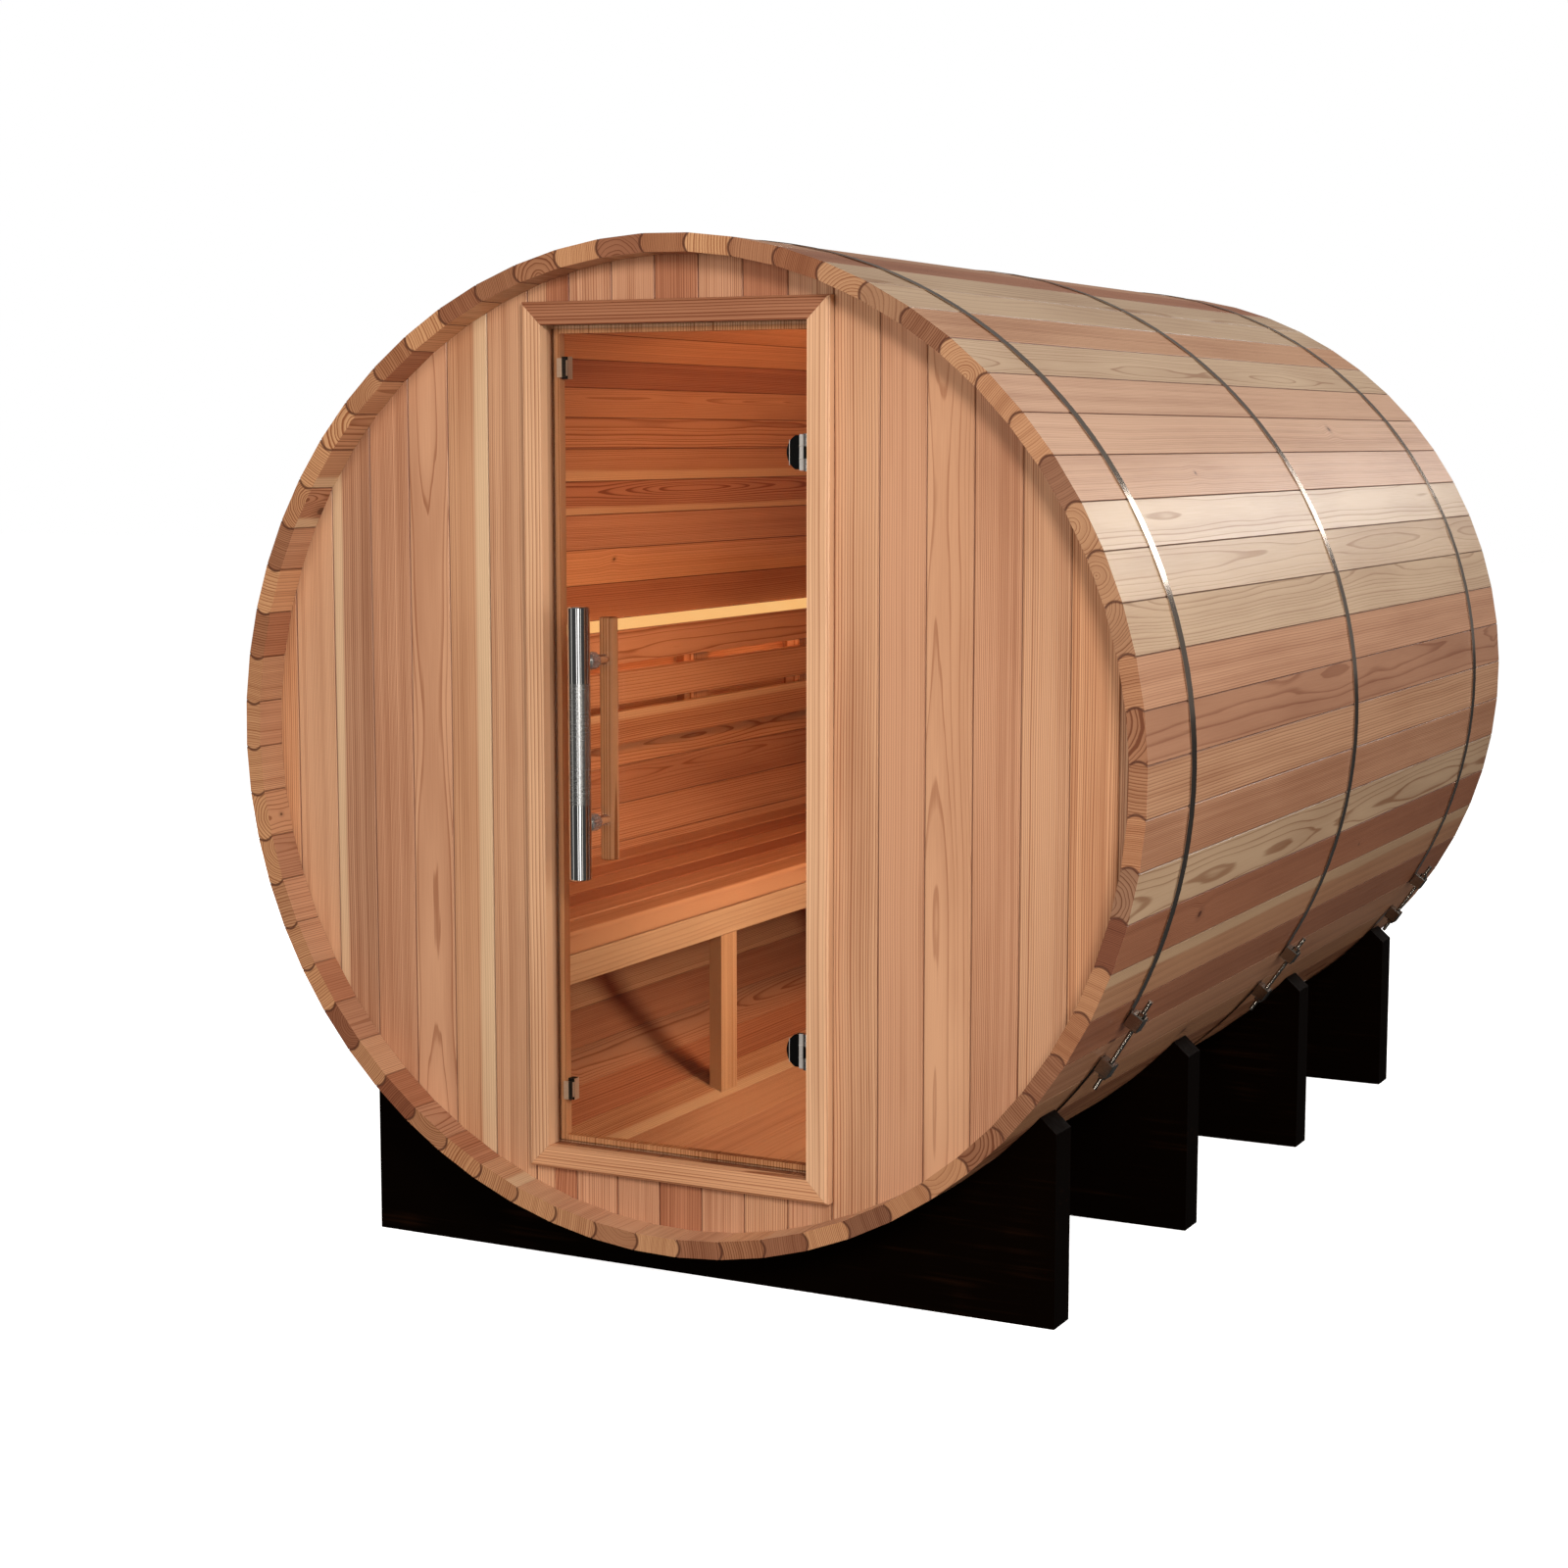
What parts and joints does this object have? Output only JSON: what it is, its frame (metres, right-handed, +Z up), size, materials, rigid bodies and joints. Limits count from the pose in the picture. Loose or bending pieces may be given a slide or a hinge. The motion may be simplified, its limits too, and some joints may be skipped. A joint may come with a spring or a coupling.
{
  "type": "barrel sauna",
  "caption": "Horizontal barrel sauna cabin of bead-and-cove cedar staves held by steel hoops on dark timber cradles, with a hinged glass door and a slatted bench inside.",
  "frame": {"origin": "on the ground under the middle of the barrel", "axes": "+Y runs along the barrel from the door end to the rear end, +X to the right of a person facing the door, +Z up"},
  "size_m": [1.8036, 2.44, 1.8727],
  "materials": {
    "cedar": "planed and oiled, knots and sapwood showing",
    "pale_cedar": "planed clear cedar",
    "dark_timber": "black stained, matt",
    "bronze_glass": "bronze tinted toughened glass",
    "chrome": "polished",
    "stainless": "bright rolled",
    "black_metal": "satin black",
    "light_diffuser": "warm translucent strip light"
  },
  "bodies": {
    "cabin": {"staves_right": "cedar", "staves_upper_right": "cedar", "staves_top": "cedar", "staves_upper_left": "cedar", "staves_left": "cedar", "staves_lower_left": "cedar", "staves_bottom": "cedar", "staves_lower_right": "cedar", "front_wall_left": "cedar", "front_wall_right": "cedar", "front_wall_over_door": "cedar", "front_wall_under_door": "cedar", "rear_wall": "cedar", "door_casing_left": "pale_cedar", "door_casing_right": "pale_cedar", "door_casing_head": "pale_cedar", "door_casing_sill": "pale_cedar", "door_stops": "pale_cedar", "hinge_lower_jamb_leaf": "chrome", "hinge_upper_jamb_leaf": "chrome", "door_catches": "black_metal", "cradle_front": "dark_timber", "cradle_front_middle": "dark_timber", "cradle_rear_middle": "dark_timber", "cradle_rear": "dark_timber", "hoop_front": "stainless", "hoop_middle": "stainless", "hoop_rear": "stainless", "tensioner_front": "stainless", "tensioner_middle": "stainless", "tensioner_rear": "stainless", "bench_seat_slats": "cedar", "bench_front_rail": "pale_cedar", "bench_legs": "pale_cedar", "bench_bearers": "cedar", "backrest_slats": "cedar", "backrest_battens": "pale_cedar", "light_strip": "light_diffuser"},
    "door": {"door_glass": "bronze_glass", "hinge_lower_door_leaf": "black_metal", "hinge_upper_door_leaf": "black_metal", "door_strikes": "chrome", "door_handle_bar": "chrome", "door_handle_posts": "chrome", "door_pull": "pale_cedar"}
  },
  "joints": [
    {"name": "door_hinge", "type": "hinge", "parent": "cabin", "child": "door", "pos_m": [0.254, -1.154, 0.976], "axis": [0, 0, 1], "range_deg": [0, 105]}
  ]
}
